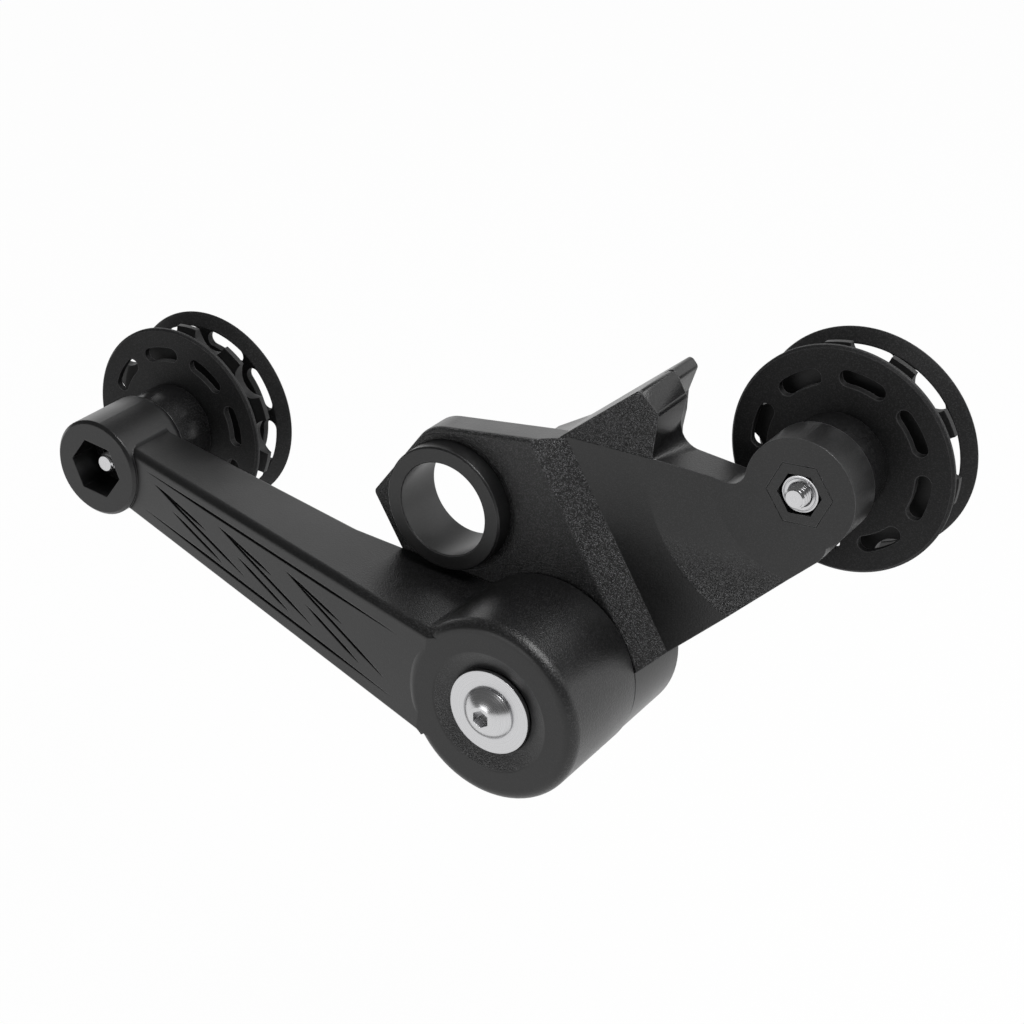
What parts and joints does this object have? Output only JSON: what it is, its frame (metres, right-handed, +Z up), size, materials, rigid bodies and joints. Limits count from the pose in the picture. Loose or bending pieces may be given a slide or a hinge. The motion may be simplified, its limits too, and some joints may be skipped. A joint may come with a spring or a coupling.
{
  "type": "bicycle chain tensioner",
  "caption": "Sprung chain tensioner for a bicycle: moulded bracket with a fixed idler behind it and a swing arm that carries a second idler.",
  "frame": {"origin": "on the axis of the mounting bore, in the front plane of the bracket's plate", "axes": "+Y along the mounting bore, from the front to the back, towards the bicycle; +Z up and +X to the right, seen from the front"},
  "size_m": [0.1925, 0.0604, 0.0829],
  "materials": {
    "bracket_nylon": "fine spark-eroded grain on satin black nylon",
    "arm_nylon": "satin black nylon with patches of fine grain",
    "sleeve_nylon": "smooth satin black",
    "spacer_nylon": "smooth satin black",
    "guide_nylon": "matte black",
    "wheel_nylon": "matte black",
    "spring_steel": "drawn spring wire",
    "sleeve_steel": "turned",
    "washer_steel": "brushed bright",
    "screw_steel": "polished",
    "nut_steel": "bright zinc",
    "bush_steel": "turned",
    "plain_washer_steel": "bright zinc",
    "bolt_steel": "bright zinc"
  },
  "bodies": {
    "bracket_body": {"bracket": "bracket_nylon", "mount_sleeve": "sleeve_nylon", "torsion_spring": "spring_steel", "pivot_sleeve": "sleeve_steel", "pivot_washer": "washer_steel", "pivot_screw": "screw_steel", "pivot_nut": "nut_steel", "fixed_spacer": "spacer_nylon", "fixed_nut": "nut_steel", "fixed_bush": "bush_steel", "fixed_washer": "plain_washer_steel", "fixed_screw": "bolt_steel"},
    "arm_body": {"swing_arm": "arm_nylon", "sprung_spacer": "spacer_nylon", "sprung_nut": "nut_steel", "sprung_bush": "bush_steel", "sprung_washer": "plain_washer_steel", "sprung_screw": "bolt_steel"},
    "sprung_idler": {"sprung_front_guide": "guide_nylon", "sprung_toothed_wheel": "wheel_nylon", "sprung_rear_guide": "guide_nylon"},
    "fixed_idler": {"fixed_front_guide": "guide_nylon", "fixed_toothed_wheel": "wheel_nylon", "fixed_rear_guide": "guide_nylon"}
  },
  "joints": [
    {"name": "arm_swing", "type": "hinge", "parent": "bracket_body", "child": "arm_body", "pos_m": [0.0216, 0, -0.0268], "axis": [0, -1, 0], "range_deg": [0, 60], "stiffness_Nm_per_rad": 0.6, "springref_deg": -57.3, "deforming": ["torsion_spring"]},
    {"name": "sprung_idler_spin", "type": "hinge", "parent": "arm_body", "child": "sprung_idler", "pos_m": [-0.08354, 0.026, -0.01258], "axis": [0, 1, 0], "continuous": true},
    {"name": "fixed_idler_spin", "type": "hinge", "parent": "bracket_body", "child": "fixed_idler", "pos_m": [0.06684, 0.026, 0.01719], "axis": [0, 1, 0], "continuous": true}
  ]
}
